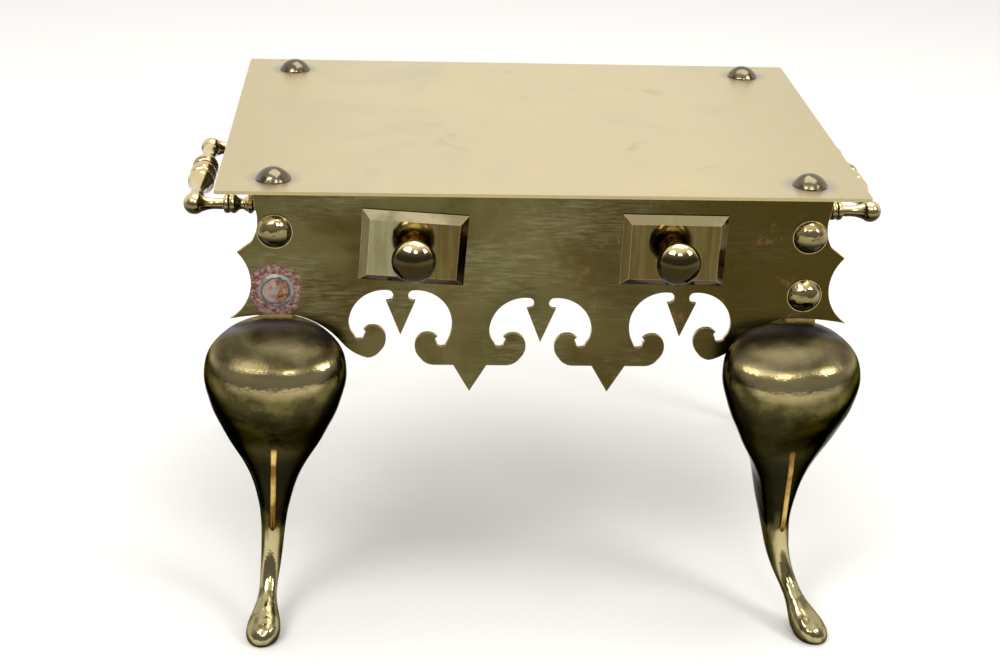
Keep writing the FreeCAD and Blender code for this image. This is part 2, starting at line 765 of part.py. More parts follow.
def make_knob(side, word):
    """A turned knob: foot, waisted stem, two stepped rings, flattened ball, screw."""
    ball = size("knob_radius")
    crown = size("knob_crown")
    reach = size("knob_reach")
    foot = size("knob_foot_radius")
    stem = size("knob_stem_radius")
    screw = size("knob_screw_radius")
    grip = size("plaque_thickness") + size("apron_gauge") + size("washer_gauge")
    tail = grip + size("small_nut_height") + size("shank_stand_out")
    zero = as_size(0)
    start = (zero, tail)
    ring = reach - crown * 0.78
    step = crown * 0.12
    steps = [
        ((screw, tail),),
        ((screw, zero),),
        ((foot, zero),),
        ((foot, as_size(-1.2)),),
        ((foot - 1.2, as_size(-2)),),
        ((stem, as_size(-4)), (stem + 0.7, as_size(-2.6))),
        ((stem + 0.6, -(ring - step * 2)),),
        ((ball * 0.45, -(ring - step * 2)),),
        ((ball * 0.45, -(ring - step)),),
        ((ball * 0.6, -(ring - step)),),
        ((ball * 0.6, -ring),),
        ((ball, -reach), (ball * 0.89, -(reach - crown * 0.42))),
        ((ball * 0.85, -(reach + crown * 0.5)), (ball * 0.965, -(reach + crown * 0.25))),
        ((zero, -(reach + crown)), (ball * 0.45, -(reach + crown * 0.868))),
        (start,),
    ]
    x = size("plaque_spread") * side
    z = top - size("plaque_down")
    body = turned_along_y("Knob" + word, start, steps, x, plaque_face, z)
    node(word.lower() + "_knob", body)


def make_knob_fixings():
    """A washer and a nut on each knob's screw, behind the apron."""
    washers = []
    nuts = []
    z = top - size("plaque_down")
    gauge = size("washer_gauge")
    for side, word in ((-1, "Left"), (1, "Right")):
        x = size("plaque_spread") * side
        bore = size("knob_screw_radius")
        rim = size("washer_radius")
        start = (bore, as_size(0))
        washers.append(turned_along_y("KnobWasher" + word, start, [
            ((rim, as_size(0)),),
            ((rim, gauge),),
            ((bore, gauge),),
            (start,),
        ], x, apron_back, z))
        nuts.append(nut_behind(
            "KnobNut" + word, size("small_nut_radius"), size("small_nut_height"),
            bore, x, apron_back + gauge, z))
    node("knob_washers", group("KnobWashers", washers))
    node("knob_nuts", group("KnobNuts", nuts))


# Sections of the cabriole front leg from knee to toe. Each row gives the share
# of the leg's height below the knee, the half width as a share of the knee's
# or the foot's, the front and the back ahead of the apron's face as shares of
# the knee's reach, and the plane of greatest width the same way.
LEG_KNEE = (
    (0.000, 0.26, 0.03, -0.30, -0.05),
    (0.012, 0.52, 0.30, -0.30, 0.05),
    (0.030, 0.72, 0.53, -0.31, 0.14),
    (0.053, 0.86, 0.72, -0.31, 0.22),
    (0.083, 0.96, 0.87, -0.32, 0.29),
    (0.118, 1.00, 0.96, -0.34, 0.35),
    (0.158, 1.00, 1.00, -0.35, 0.38),
    (0.203, 0.95, 0.99, -0.38, 0.39),
    (0.253, 0.88, 0.89, -0.41, 0.38),
    (0.308, 0.77, 0.75, -0.48, 0.34),
    (0.368, 0.65, 0.60, -0.57, 0.26),
    (0.434, 0.49, 0.50, -0.67, 0.17),
    (0.504, 0.35, 0.40, -0.75, 0.09),
    (0.579, 0.26, 0.30, -0.74, 0.01),
    (0.654, 0.20, 0.20, -0.62, -0.03),
    (0.729, 0.17, 0.16, -0.44, 0.00),
)
# The ankle's and the foot's rows: height share, half width as a share of the
# ankle's or the toe's, front, back and widest plane as shares of the toe's reach.
LEG_ANKLE = (
    (0.794, 1.18, 0.20, -0.24, 0.03),
    (0.850, 1.04, 0.34, -0.06, 0.19),
    (0.890, 1.00, 0.53, 0.12, 0.37),
)
LEG_FOOT = (
    (0.920, 0.69, 0.73, 0.25, 0.54),
    (0.950, 0.93, 0.92, 0.33, 0.67),
    (0.980, 1.00, 0.98, 0.39, 0.71),
    (1.000, 0.87, 0.94, 0.44, 0.71),
)


def apron_clearance(side):
    """All the room behind the apron's face and above its arch over one knee."""
    gap = size("knee_clearance")
    crown = size("arch_crown_down") + gap

    def at(out, down):
        x = leg_spread + out + gap
        z = top - crown - down
        return FreeCAD.Vector(side * x.value, (apron_face - gap).value, z.value)

    inner = at(*ARCH_INNER[1]) + at(*ARCH_INNER[1]) - at(*ARCH_INNER[0])
    low_tip = at(rail_face + size("lower_tip_out") - leg_spread,
                 size("lower_tip_down") - size("arch_crown_down"))
    roof = top.value
    edges = [
        Part.makeLine(inner, at(*ARCH_INNER[1])),
        Part.makeLine(at(*ARCH_INNER[1]), at(*ARCH_INNER[0])),
        Part.Arc(at(*ARCH_INNER[0]), at(*ARCH_SHOULDER), at(*ARCH_TOP)).toShape(),
        Part.Arc(at(*ARCH_TOP), at(*ARCH_OUTER), low_tip).toShape(),
        Part.makeLine(low_tip, FreeCAD.Vector(low_tip.x, low_tip.y, roof)),
        Part.makeLine(FreeCAD.Vector(low_tip.x, low_tip.y, roof), FreeCAD.Vector(inner.x, inner.y, roof)),
        Part.makeLine(FreeCAD.Vector(inner.x, inner.y, roof), inner),
    ]
    outline = Part.Face(Part.Wire(edges))
    return outline.extrude(FreeCAD.Vector(0, size("knee_reach").value, 0))


def make_front_leg(side, word):
    """The cast leg: domed knee, ribbed shin, slim ankle, pad foot, flat tang.

    The two castings were set by hand: each turns and sways outwards by its own
    amount towards the foot. Lengths inside a section run outwards (x) and
    backwards (y) from the knee's own axis.
    """
    inset = size(word + "_knee_inset").value
    turn = math.radians(size(word + "_leg_turn").value)
    sway = size(word + "_leg_sway").value
    knee_z = (top - size("knee_down")).value
    face = apron_face.value
    pivot = size("knee_reach").value * 0.49

    def at(share, out, back):
        angle = turn * share
        behind = back + pivot
        x = leg_spread.value - inset + sway * share ** 1.8
        x += out * math.cos(angle) - behind * math.sin(angle)
        y = face - pivot + out * math.sin(angle) + behind * math.cos(angle)
        return FreeCAD.Vector(side * x, y, knee_z * (1 - share))

    rows = []
    for table, wide, reach in (
            (LEG_KNEE, size("knee_half").value, size("knee_reach").value),
            (LEG_ANKLE, size("ankle_half").value, size("toe_reach").value),
            (LEG_FOOT, size("toe_half").value, size("toe_reach").value)):
        for share, half, front, back, widest in table:
            rows.append((share, half * wide, front * reach, back * reach, widest * reach))

    def ring(share, half, front, widest, back):
        """A smooth closed section, its front and back given ahead of the apron."""
        count = 16
        points = []
        for index in range(count):
            spin = 2 * math.pi * index / count
            depth = front - widest if math.sin(spin) < 0 else widest - back
            points.append(at(share, half * math.cos(spin), depth * math.sin(spin) - widest))
        curve = Part.BSplineCurve()
        stations = [float(index) for index in range(count + 1)]
        curve.interpolate(Points=points, PeriodicFlag=True, Parameters=stations)
        return Part.Wire([curve.toShape()])

    sections = []
    for share, half, front, back, widest in rows:
        sections.append(ring(share, half, front, widest, back))
    cast = Part.makeLoft(sections, True, False).cut(apron_clearance(side))

    rib_rows = [row for row in rows if 0.35 < row[0] < 0.75]
    radius = size("rib_radius").value
    rings = []
    for index, (share, half, front, back, widest) in enumerate(rib_rows):
        sunk = radius * (2.2 if index in (0, len(rib_rows) - 1) else 0.1)
        middle = front - sunk
        rings.append(ring(share, radius, middle + radius, middle, middle - radius * 2))
    cast = cast.fuse(Part.makeLoft(rings, True, False))

    centre = side * leg_spread.value
    width = size("tang_width").value
    tang_low = knee_z - size("tang_gauge").value
    tang_high = (shelf_bottom - size("tang_headroom")).value
    tang = Part.makeBox(
        width, size("tang_gauge").value, tang_high - tang_low,
        FreeCAD.Vector(centre - width / 2, apron_back.value, tang_low))
    cast = cast.fuse(tang)
    for down in (size("leg_stud_upper_down"), size("leg_stud_lower_down")):
        hole = Part.makeCylinder(
            shank_bore.value, size("tang_gauge").value * 3,
            FreeCAD.Vector(centre, apron_face.value, (top - down).value),
            FreeCAD.Vector(0, 1, 0))
        cast = cast.cut(hole)
    leg = doc.addObject("Part::Feature", word.capitalize() + "FrontLeg")
    leg.Shape = cast.removeSplitter()
    node(word + "_front_leg", leg)


def make_rear_leg():
    """A plain forged bar: flat palm on the rail, slight splay, round foot."""
    body = new_body("LeftRearLeg")
    gauge = size("rear_leg_gauge")
    width = size("rear_leg_width") / 2
    face = -rail_face
    splay = size("rear_foot_splay")
    foot_x = face - splay
    foot_top = size("rear_foot_height")
    levels = (
        (palm_top, face - gauge / 2, gauge / 2, width),
        (palm_bottom, face - gauge / 2, gauge / 2, width),
        (palm_bottom * 0.72, face - (gauge + splay * 0.6) / 2, gauge * 0.48, width * 0.9),
        (palm_bottom * 0.40, foot_x + splay * 0.26, gauge * 0.46, width * 0.74),
        (palm_bottom * 0.16, foot_x + splay * 0.04, gauge * 0.44, width * 0.62),
        (foot_top * 0.5, foot_x, gauge * 0.44, width * 0.58),
    )
    palm = new_sketch(body, "PalmPlan", "XY_Plane", palm_bottom)
    rectangle(palm, face - gauge, face, -width, width)
    pad(body, palm, "Palm", palm_top - palm_bottom)
    plans = []
    for index, (z, x, half_x, half_y) in enumerate(levels[1:]):
        plan = new_sketch(body, "BarPlan%d" % index, "XY_Plane", z)
        rectangle(plan, x - half_x, x + half_x, -half_y, half_y)
        plans.append(plan)
    loft = body.newObject("PartDesign::AdditiveLoft", "Bar")
    loft.Profile = plans[0]
    loft.Sections = plans[1:]
    foot = new_sketch(body, "FootPlan", "XY_Plane")
    circle(foot, (foot_x, as_size(0)), size("rear_foot_radius"))
    pad(body, foot, "Foot", foot_top)
    bores = new_sketch(body, "PalmBores", "YZ_Plane", face)
    for z in leg_rivets:
        circle(bores, (as_size(0), z), rivet_bore)
    bore(body, bores, "PalmHoles", gauge * 2)
    place(body, y=rear_leg_y)
    node("left_rear_leg", body)
    node("right_rear_leg", mirrored(body, "RightRearLeg"))


def rivet_outline(grip):
    """Half outline of a rivet closed on both sides of what it grips."""
    shank = size("rivet_radius")
    head = size("rivet_head")
    rise = size("rivet_head_height")
    zero = as_size(0)
    start = (zero, -rise)
    crown = dome_height(head, rise)
    return start, [
        ((head, zero), (head / 2, -crown)),
        ((shank, zero),),
        ((shank, grip),),
        ((head, grip),),
        ((zero, grip + rise), (head / 2, grip + crown)),
        (start,),
    ]


def make_rivets():
    """Rivets of the rear legs' palms and of the rear rail."""
    legs = []
    grip = size("rear_leg_gauge") + size("rail_gauge")
    for index, z in enumerate(leg_rivets):
        body = new_body("LegRivet%d" % index)
        start, steps = rivet_outline(grip)
        turned_steps = [tuple((point[1], point[0]) for point in step) for step in steps[:-1]]
        begin = (start[1], start[0])
        turned(body, "LegRivetTurned%d" % index, "XZ_Plane", "H_Axis",
               begin, turned_steps + [(begin,)])
        place(body, -(rail_face + size("rear_leg_gauge")), rear_leg_y, z)
        legs += [body, mirrored(body, "LegRivetRight%d" % index)]
    node("rear_leg_rivets", group("RearLegRivets", legs))
    start, steps = rivet_outline(size("rail_gauge") * 2)
    rail = turned_along_y("RailRivet", start, steps, -rear_rivet_x,
                          rail_end - size("rail_gauge"), rear_rivet_z)
    node("rear_rail_rivets", group("RearRailRivets", [rail, mirrored(rail, "RailRivetRight")]))


def make_handle_arm(word, y, seat):
    """A turned arm: tail through the rail, flange, collar, bead, neck and ball.

    The seat is +1 where the grip leaves the ball towards the rear, else -1.
    """
    body = new_body("LeftArm" + word)
    ball = size("handle_ball")
    out = handle_out
    neck = size("arm_neck")
    bead = size("arm_bead")
    flange = size("arm_flange")
    screw = size("arm_screw")
    face = rail_face - out
    tail = face - size("rail_gauge") - size("small_nut_height") - size("shank_stand_out")
    taper = neck + (ball - neck) * 0.55
    join = root(ball * ball - taper * taper)
    zero = as_size(0)
    start = (-ball, zero)

    def along(share):
        return -face * share

    outline = [
        ((join, taper), (zero, ball)),
        ((along(0.34), neck), (along(0.19), neck + (ball - neck) * 0.14)),
        ((along(0.405), neck),),
        ((along(0.42), bead * 0.86),),
        ((along(0.5), bead * 0.9), (along(0.46), bead)),
        ((along(0.515), bead * 0.9),),
        ((along(0.595), bead * 0.86), (along(0.555), bead)),
        ((along(0.62), neck + 0.5),),
        ((along(0.715), neck + 0.8), (along(0.665), neck - 0.2)),
        ((along(0.765), bead), (along(0.745), neck + 1.5)),
        ((along(0.81), bead),),
        ((along(0.835), neck + 0.6),),
        ((along(0.92), neck + 0.8),),
        ((along(0.968), flange), (along(0.932), flange - 1.4)),
        ((-face, flange),),
        ((-face, screw),),
        ((-tail, screw),),
        ((-tail, zero),),
        (start,),
    ]
    turned(body, "LeftArmTurned" + word, "XY_Plane", "H_Axis", start, outline)
    socket = new_sketch(body, "LeftArmSocket" + word, "XZ_Plane", ball_seat * -seat)
    circle(socket, (zero, zero), size("grip_tenon") + size("bore_clearance") / 2)
    cut = body.newObject("PartDesign::Pocket", "LeftArmBore" + word)
    cut.Profile = socket
    cut.Reversed = seat > 0
    bind(cut, "Length", size("tenon_depth") + size("bore_clearance"))
    flat = new_sketch(body, "LeftArmFlat" + word, "XZ_Plane", ball_seat * -seat)
    circle(flat, (zero, zero), ball)
    trim = body.newObject("PartDesign::Pocket", "LeftArmSeat" + word)
    trim.Profile = flat
    trim.Reversed = seat < 0
    bind(trim, "Length", ball)
    place(body, -out, y, top - size("handle_down"))
    node("left_handle_%s_arm" % word.lower(), body)
    node("right_handle_%s_arm" % word.lower(), mirrored(body, "RightArm" + word))


# Flat on each handle ball on which the grip's shoulder seats.
shoulder = size("grip_neck") + 0.4
ball_seat = root(size("handle_ball") * size("handle_ball") - shoulder * shoulder)


def make_grip():
    """The turned crossbar: a middle bead between rings, two bells, two necks."""
    body = new_body("LeftGrip")
    full = size("grip_radius")
    neck = size("grip_neck")
    tenon = size("grip_tenon")
    end = size("handle_span") / 2 - ball_seat
    tip = end + size("tenon_depth")
    zero = as_size(0)

    def half(sign):
        """From the middle bead's edge outwards to the tenon."""
        def at(radius, share):
            return (as_size(radius), end * share * sign)

        return [
            (at(full - 2.2, 0.107),),
            (at(full - 2.2, 0.13),),
            (at(full - 0.9, 0.14),),
            (at(full - 0.9, 0.19), at(full - 0.2, 0.165)),
            (at(full - 1.9, 0.206),),
            (at(full - 1.9, 0.226),),
            (at(full - 0.3, 0.242),),
            (at(full - 0.9, 0.37), at(full, 0.3)),
            (at(neck + 0.5, 0.57), at(neck + 1.5, 0.485)),
            (at(neck + 0.5, 0.88), at(neck, 0.73)),
            (at(shoulder, 1),),
            (at(tenon, 1),),
            ((tenon, tip * sign),),
            ((zero, tip * sign),),
        ]

    edge = (full - 0.9, -end * 0.094)
    far_edge = (full - 0.9, end * 0.094)
    steps = [(far_edge, (full, zero))] + half(1)
    steps.append(((zero, -tip),))
    steps += backwards(edge, half(-1))
    turned(body, "LeftGripTurned", "XY_Plane", "V_Axis", edge, steps)
    place(body, -handle_out, handle_middle, top - size("handle_down"))
    node("left_handle_grip", body)
    node("right_handle_grip", mirrored(body, "RightGrip"))


def make_arm_nuts():
    """Nuts on the arms' threaded tails, inside the side rails."""
    nuts = []
    for index, y in enumerate(handle_arms):
        block = doc.addObject("Part::Prism", "ArmNutBlock%d" % index)
        block.Polygon = 6
        bind(block, "Circumradius", size("small_nut_radius"))
        bind(block, "Height", size("small_nut_height"))
        hole = doc.addObject("Part::Cylinder", "ArmNutBore%d" % index)
        bind(hole, "Radius", size("arm_screw"))
        bind(hole, "Height", size("small_nut_height"))
        nut = doc.addObject("Part::Cut", "ArmNut%d" % index)
        nut.Base = block
        nut.Tool = hole
        nut.Placement = FreeCAD.Placement(
            FreeCAD.Vector(0, 0, 0), FreeCAD.Rotation(FreeCAD.Vector(0, 1, 0), 90))
        place(nut, -rail_inner, y, top - size("handle_down"))
        nuts += [nut, mirrored(nut, "ArmNutRight%d" % index)]
    node("handle_arm_nuts", group("ArmNuts", nuts))


make_top_plate()
make_front_apron()
make_side_rail()
make_rear_rail()
make_plate_studs()
make_leg_studs()
make_plaque(-1, "Left", size("left_plaque_lean"))
make_plaque(1, "Right", size("right_plaque_lean"))
make_knob(-1, "Left")
make_knob(1, "Right")
make_knob_fixings()
make_front_leg(-1, "left")
make_front_leg(1, "right")
make_rear_leg()
make_rivets()
make_handle_arm("Front", handle_arms[0], 1)
make_handle_arm("Rear", handle_arms[1], -1)
make_grip()
make_arm_nuts()
doc.recompute()

faults = []
for item in doc.Objects:
    if "Invalid" in item.State or "Error" in item.State:
        faults.append(item.Name)
    if item.TypeId == "PartDesign::Pocket":
        removed = item.BaseFeature.Shape.Volume - item.Shape.Volume
        if removed < 1:
            faults.append(item.Name + " cuts nothing")
for label, item in nodes.items():
    if item.Shape.isNull() or not item.Shape.isValid() or not item.Shape.Solids:
        faults.append(label)
if faults:
    raise RuntimeError("not sound: " + ", ".join(faults))

os.makedirs("parts", exist_ok=True)
for label, item in nodes.items():
    item.Shape.exportStep("parts/%s.step" % label)
    print(label, len(item.Shape.Solids), "solids", round(item.Shape.Volume, 1), "mm3")
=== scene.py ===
import math

import bpy
from mathutils import Matrix, Vector

# Looks of the brass footman. Everything is in metres, in the frame of the CAD part.

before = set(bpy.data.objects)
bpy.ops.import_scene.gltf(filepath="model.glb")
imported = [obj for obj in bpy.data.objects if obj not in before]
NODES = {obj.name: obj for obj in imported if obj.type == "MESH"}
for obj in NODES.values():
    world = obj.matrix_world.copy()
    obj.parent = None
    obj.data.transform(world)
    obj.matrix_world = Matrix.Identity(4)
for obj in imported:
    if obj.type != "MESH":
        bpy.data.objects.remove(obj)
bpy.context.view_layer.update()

# Places on the part that the materials follow.
LEG_SPREAD = 0.156
LOWER_STUD_Z = 0.2178
BARE_STUD = (-LEG_SPREAD, 0, LOWER_STUD_Z)
PLATE_TOP = 0.280
PLATE_STUD_X = 0.1575
PLATE_STUD_FRONT_Y = -0.095
PLATE_STUD_REAR_Y = 0.137
APRON_FACE_Y = -0.1150
KNOB_FOOT_Y = -0.129
SHANK_TOP_Z = 0.0735
TANG_LOW_Z = 0.1930
RIB_LOW_Z = 0.060
RIB_HIGH_Z = 0.1270
RIB_FLOOR_X = 0.1600
RIB_LEAN = -0.05
LEFT_RIB_OUT = 0.0038

# The photograph's pinhole camera, fitted to marked points.
PHOTO_WIDTH = 1000
FOCAL_PIXELS = 1786.1
CAMERA_PLACE = (-0.0857, -1.0824, 0.6239)
CAMERA_YAW, CAMERA_PITCH, CAMERA_ROLL = 3.644, 24.024, 1.928

FLOOR_REACH = 6.0


class Shader:
    """A node material with short calls for the nodes used here."""

    def __init__(self, name):
        self.material = bpy.data.materials.new(name)
        self.material.use_nodes = True
        self.tree = self.material.node_tree
        self.surface = self.tree.nodes["Principled BSDF"]
        self.coords = self.tree.nodes.new("ShaderNodeTexCoord").outputs["Object"]

    def link(self, source, target):
        self.tree.links.new(source, target)

    def feed(self, target, value):
        if isinstance(value, bpy.types.NodeSocket):
            self.link(value, target)
        else:
            target.default_value = value

    def set(self, name, value):
        self.feed(self.surface.inputs[name], value)

    def stretch(self, scale):
        mapping = self.tree.nodes.new("ShaderNodeMapping")
        self.link(self.coords, mapping.inputs["Vector"])
        mapping.inputs["Scale"].default_value = scale
        return mapping.outputs["Vector"]

    def noise(self, scale, detail=4.0, roughness=0.55, vector=None, distortion=0.0):
        node = self.tree.nodes.new("ShaderNodeTexNoise")
        self.link(vector or self.coords, node.inputs["Vector"])
        node.inputs["Scale"].default_value = scale
        node.inputs["Detail"].default_value = detail
        node.inputs["Roughness"].default_value = roughness
        node.inputs["Distortion"].default_value = distortion
        return node.outputs["Fac"]

    def ramp(self, value, low, high, out_low=0.0, out_high=1.0):
        """Maps low..high to out_low..out_high with a smooth step."""
        node = self.tree.nodes.new("ShaderNodeMapRange")
        node.interpolation_type = "SMOOTHSTEP"
        self.link(value, node.inputs["Value"])
        node.inputs["From Min"].default_value = low
        node.inputs["From Max"].default_value = high
        node.inputs["To Min"].default_value = out_low
        node.inputs["To Max"].default_value = out_high
        return node.outputs["Result"]

    def math(self, operation, first, second=0.0):
        node = self.tree.nodes.new("ShaderNodeMath")
        node.operation = operation
        self.feed(node.inputs[0], first)
        self.feed(node.inputs[1], second)
        return node.outputs["Value"]

    def plus(self, first, second):
        return self.math("ADD", first, second)

    def times(self, first, second):
        return self.math("MULTIPLY", first, second)

    def mix(self, factor, first, second):
        node = self.tree.nodes.new("ShaderNodeMix")
        node.data_type = "RGBA"
        self.feed(node.inputs["Factor"], factor)
        self.feed(node.inputs["A"], first)
        self.feed(node.inputs["B"], second)
        return node.outputs["Result"]

    def axes(self):
        node = self.tree.nodes.new("ShaderNodeSeparateXYZ")
        self.link(self.coords, node.inputs["Vector"])
        return node.outputs["X"], node.outputs["Y"], node.outputs["Z"]

    def distance(self, point, flatten):
        """Distance to a point, measured without the axes that flatten marks with 0."""
        away = self.tree.nodes.new("ShaderNodeVectorMath")
        away.operation = "SUBTRACT"
        self.link(self.coords, away.inputs[0])
        away.inputs[1].default_value = point
        flat = self.tree.nodes.new("ShaderNodeVectorMath")
        flat.operation = "MULTIPLY"
        self.link(away.outputs["Vector"], flat.inputs[0])
        flat.inputs[1].default_value = flatten
        length = self.tree.nodes.new("ShaderNodeVectorMath")
        length.operation = "LENGTH"
        self.link(flat.outputs["Vector"], length.inputs[0])
        return length.outputs["Value"]

    def facing(self, axis):
        """The world part of the surface normal along an axis, -1 to 1."""
        geometry = self.tree.nodes.new("ShaderNodeNewGeometry")
        split = self.tree.nodes.new("ShaderNodeSeparateXYZ")
        self.link(geometry.outputs["Normal"], split.inputs["Vector"])
        return split.outputs[axis]

    def facing_side(self):
        """1 on faces that look left or right, 0 on the others."""
        return self.ramp(self.math("ABSOLUTE", self.facing("X")), 0.30, 0.90)

    def cells(self, scale):
        """Distance to the nearest of many scattered points: hammered dimples."""
        node = self.tree.nodes.new("ShaderNodeTexVoronoi")
        self.link(self.coords, node.inputs["Vector"])
        node.inputs["Scale"].default_value = scale
        return node.outputs["Distance"]

    def lit_and_shaded_by_facing(self, bright, olive, dark, lit_shift=0.0, scale=30,
                  low=(-0.26, 0.06), high=(0.08, 0.50)):
        """Painted shading by facing: bright on faces that look up, olive on upright faces, dark on
        faces that look down.
        """
        up = self.plus(self.facing("Z"), lit_shift)
        wander = self.times(self.noise(scale, 4), 0.20)
        up = self.plus(up, self.math("SUBTRACT", wander, 0.10))
        tint = self.mix(self.ramp(up, *low), dark, olive)
        return self.mix(self.ramp(up, *high), tint, bright)

    def edge(self, radius):
        """1 on a sharp edge, 0 elsewhere."""
        bevel = self.tree.nodes.new("ShaderNodeBevel")
        bevel.samples = 4
        bevel.inputs["Radius"].default_value = radius
        geometry = self.tree.nodes.new("ShaderNodeNewGeometry")
        dot = self.tree.nodes.new("ShaderNodeVectorMath")
        dot.operation = "DOT_PRODUCT"
        self.link(bevel.outputs["Normal"], dot.inputs[0])
        self.link(geometry.outputs["Normal"], dot.inputs[1])
        return self.ramp(dot.outputs["Value"], 0.995, 0.85)

    def bump(self, height, distance, strength=1.0):
        node = self.tree.nodes.new("ShaderNodeBump")
        node.inputs["Distance"].default_value = distance
        node.inputs["Strength"].default_value = strength
        self.link(height, node.inputs["Height"])
        self.link(node.outputs["Normal"], self.surface.inputs["Normal"])


def colour(red, green, blue):
    return (red, green, blue, 1.0)


def middle_x(name):
    """The middle of a CAD node from left to right."""
    across = [point.co.x for point in NODES[name].data.vertices]
    return (min(across) + max(across)) / 2


def paint(material, *names):
    """Gives the named CAD nodes a material in place of the record's plain one."""
    for name in names:
        for place in NODES[name].material_slots:
            place.material = material


def plate_brass():
    """Satin sheet with clouds and stains, and a brown halo round each stud."""
    shader = Shader("plate_brass")
    pale = colour(0.72, 0.61, 0.35)
    grey = colour(0.57, 0.50, 0.37)
    brown = colour(0.52, 0.40, 0.20)
    cloud = shader.ramp(shader.noise(7, 5, 0.6, distortion=0.6), 0.48, 0.72)
    stain = shader.ramp(shader.noise(21, 6, 0.65, distortion=1.2), 0.60, 0.72)
    tint = shader.mix(shader.times(cloud, 0.6), pale, grey)
    tint = shader.mix(shader.times(stain, 0.4), tint, brown)
    across = shader.math("ABSOLUTE", shader.axes()[0])
    tint = shader.mix(shader.ramp(across, 0.09, 0.19, 0.0, 0.8), tint, colour(0.62, 0.52, 0.29))
    scratches = shader.noise(60, 3, 0.5, shader.stretch((0.6, 9.0, 1.0)), 0.3)
    halo = None
    wobble = shader.times(shader.noise(70, 3), 0.007)
    for stud_x in (-PLATE_STUD_X, PLATE_STUD_X):
        for stud_y in (PLATE_STUD_FRONT_Y, PLATE_STUD_REAR_Y):
            away = shader.distance((stud_x, stud_y, PLATE_TOP), (1, 1, 0))
            near = shader.ramp(shader.plus(away, wobble), 0.0225, 0.0125)
            halo = near if halo is None else shader.math("MAXIMUM", halo, near)
    tint = shader.mix(shader.times(halo, 0.75), tint, colour(0.36, 0.32, 0.31))
    # Painted shade: faces that do not look up, such as the sheet's edges, are darker olive.
    flat = shader.ramp(shader.facing("Z"), 0.30, 0.85)
    tint = shader.mix(flat, colour(0.40, 0.33, 0.17), tint)
    shader.set("Base Color", tint)
    shader.set("Metallic", 1.0)
    rough = shader.ramp(shader.noise(14, 5, 0.6), 0.3, 0.7, 0.26, 0.36)
    shader.set("Roughness", shader.plus(rough, shader.times(halo, 0.12)))
    waves = shader.noise(6, 2, 0.4)
    height = shader.plus(shader.times(waves, 4.0), scratches)
    shader.bump(height, 0.00007)
    return shader.material


def apron_brass():
    """Olive sheet brushed along its length, duller to the right, with a rough ring."""
    shader = Shader("apron_brass")
    olive = shader.mix(shader.ramp(shader.noise(12, 5, 0.6, distortion=0.8), 0.38, 0.66),
                       colour(0.105, 0.089, 0.034), colour(0.050, 0.037, 0.009))
    x = shader.axes()[0]
    olive = shader.mix(shader.ramp(x, -0.02, 0.12), olive, colour(0.047, 0.034, 0.007))
    # Painted shading by facing: upward edges bright, downward edges dark, the upright face olive.
    tint = shader.lit_and_shaded_by_facing(colour(0.66, 0.54, 0.28), olive, colour(0.05, 0.038, 0.012))
    brushed = shader.noise(80, 5, 0.65, shader.stretch((1.0, 1.0, 8.0)), 0.4)
    cloudy = shader.ramp(shader.noise(16, 3, 0.5, shader.stretch((0.7, 1.0, 1.6))), 0.42, 0.66)
    shine = shader.times(shader.ramp(brushed, 0.36, 0.74, 0.0, 0.34), cloudy)
    shine = shader.times(shine, shader.ramp(x, 0.13, -0.03, 0.15, 1.0))
    tint = shader.mix(shine, tint, colour(0.30, 0.28, 0.17))
    spots = shader.ramp(shader.noise(55, 5, 0.7), 0.58, 0.70, 0.0, 0.45)
    spots = shader.times(spots, shader.ramp(x, -0.10, 0.06))
    tint = shader.mix(spots, tint, colour(0.20, 0.105, 0.050))
    away = shader.distance(BARE_STUD, (1, 0, 1))
    away = shader.plus(away, shader.times(shader.noise(120, 4), 0.010))
    scar = shader.ramp(away, 0.0225, 0.0185)
    crust = shader.ramp(shader.noise(330, 4, 0.7), 0.36, 0.64)
    pink = shader.mix(crust, colour(0.15, 0.062, 0.048), colour(0.46, 0.30, 0.26))
    tint = shader.mix(scar, tint, pink)
    # Sharp edges paler: partly edge wear, partly a painted highlight.
    edge_wear_and_highlight = shader.edge(0.0007)
    tint = shader.mix(shader.times(edge_wear_and_highlight, 0.5), tint, colour(0.62, 0.52, 0.30))
    shader.set("Base Color", tint)
    shader.set("Metallic", 1.0)
    rough = shader.ramp(shader.noise(20, 4), 0.3, 0.7, 0.20, 0.34)
    shader.set("Roughness", shader.plus(rough, shader.times(scar, 0.25)))
    grain = shader.times(crust, scar)
    shader.bump(shader.plus(brushed, shader.times(grain, 10.0)), 0.00006)
    return shader.material


def rib_mask(shader, x, z):
    """1 on the raised line down the front of each shin, 0 elsewhere."""
    out = shader.ramp(x, -0.01, 0.01, LEFT_RIB_OUT, 0.0)
    line = shader.plus(shader.plus(out, shader.times(z, RIB_LEAN)), RIB_FLOOR_X)
    away = shader.math("ABSOLUTE", shader.math("SUBTRACT", shader.math("ABSOLUTE", x), line))
    rib = shader.ramp(away, 0.0021, 0.0011)
    rib = shader.times(rib, shader.ramp(z, RIB_LOW_Z, RIB_LOW_Z + 0.006))
    rib = shader.times(rib, shader.ramp(z, RIB_HIGH_Z, RIB_HIGH_Z - 0.0045))
    return shader.times(rib, shader.ramp(shader.facing("Y"), -0.1, -0.3))


